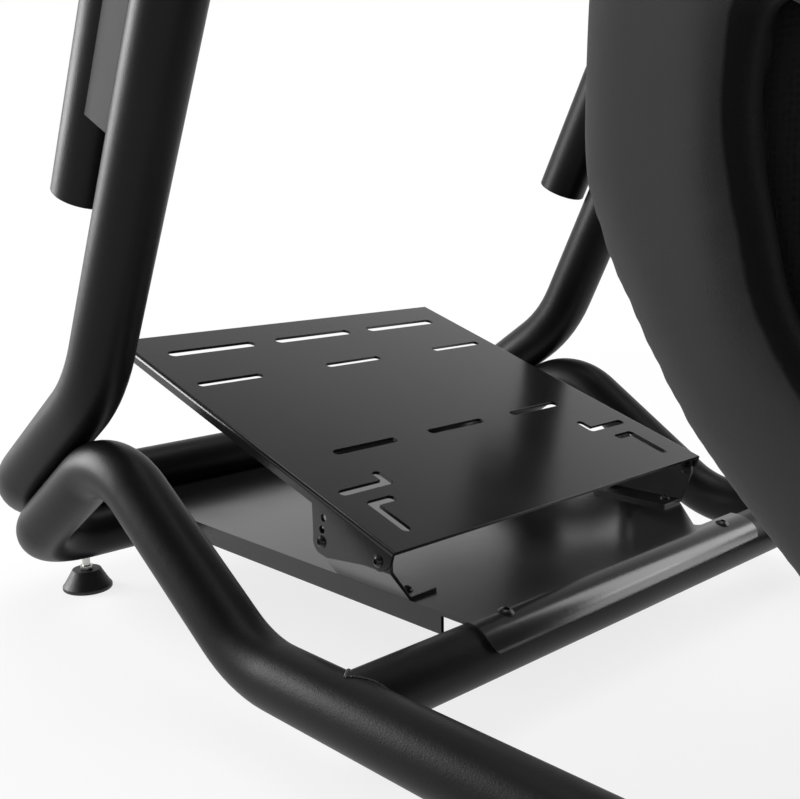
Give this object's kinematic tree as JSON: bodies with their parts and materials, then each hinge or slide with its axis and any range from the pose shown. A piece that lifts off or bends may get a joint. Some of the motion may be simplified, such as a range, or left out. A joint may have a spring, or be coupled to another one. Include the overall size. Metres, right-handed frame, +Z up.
{
  "type": "sim racing cockpit",
  "caption": "Free-standing driving-game cockpit: bent round-tube frame on levelling feet, folded lower plate, tilted slotted pedal plate, wheel deck and a padded bucket seat.",
  "frame": {"origin": "on the floor under the middle of the cockpit's overall box", "axes": "+X to the driver's left, -Y to the front, where the pedals are, +Z up"},
  "size_m": [0.678, 1.38, 0.9852],
  "materials": {
    "frame_black": "satin black powder coat",
    "plate_black": "semi-gloss black powder coat on folded sheet",
    "gusset_grey": "mid grey satin coat",
    "cap_plastic": "matte black moulded plug",
    "bolt_black": "black oxide button head screws",
    "pad_rubber": "black moulded foot pad",
    "zinc": "zinc plated stud and nut",
    "shell_black": "smooth black moulded shell",
    "seat_fabric": "smooth matte dark grey cloth",
    "seat_dark": "near-black finely textured cloth"
  },
  "bodies": {
    "root": {"base_left": "frame_black", "base_right": "frame_black", "base_front": "frame_black", "base_rear": "frame_black", "upright_left": "frame_black", "upright_right": "frame_black", "upright_front": "frame_black", "support_left": "frame_black", "support_right": "frame_black", "gusset_left": "gusset_grey", "gusset_right": "gusset_grey", "tube_caps": "cap_plastic", "cross_tube": "frame_black", "lower_plate": "plate_black", "pedal_plate": "plate_black", "bracket_left": "plate_black", "bracket_right": "plate_black", "hinge_bolts": "bolt_black", "foot_bolts": "bolt_black", "saddle_bolts": "bolt_black", "foot_pads": "pad_rubber", "foot_studs": "zinc", "deck_tube": "frame_black", "wheel_plate": "plate_black", "wheel_bracket_left": "plate_black", "wheel_bracket_right": "plate_black", "seat_tube_front": "frame_black", "seat_tube_rear": "frame_black", "seat_posts": "frame_black", "seat_rail_left": "frame_black", "seat_rail_right": "frame_black", "seat_shell": "shell_black", "seat_wing_left": "seat_fabric", "seat_wing_right": "seat_fabric", "seat_panel_left": "seat_dark", "seat_panel_right": "seat_dark", "seat_cushion": "seat_dark", "back_cushion": "seat_dark", "head_cushion": "seat_fabric"}
  },
  "joints": []
}
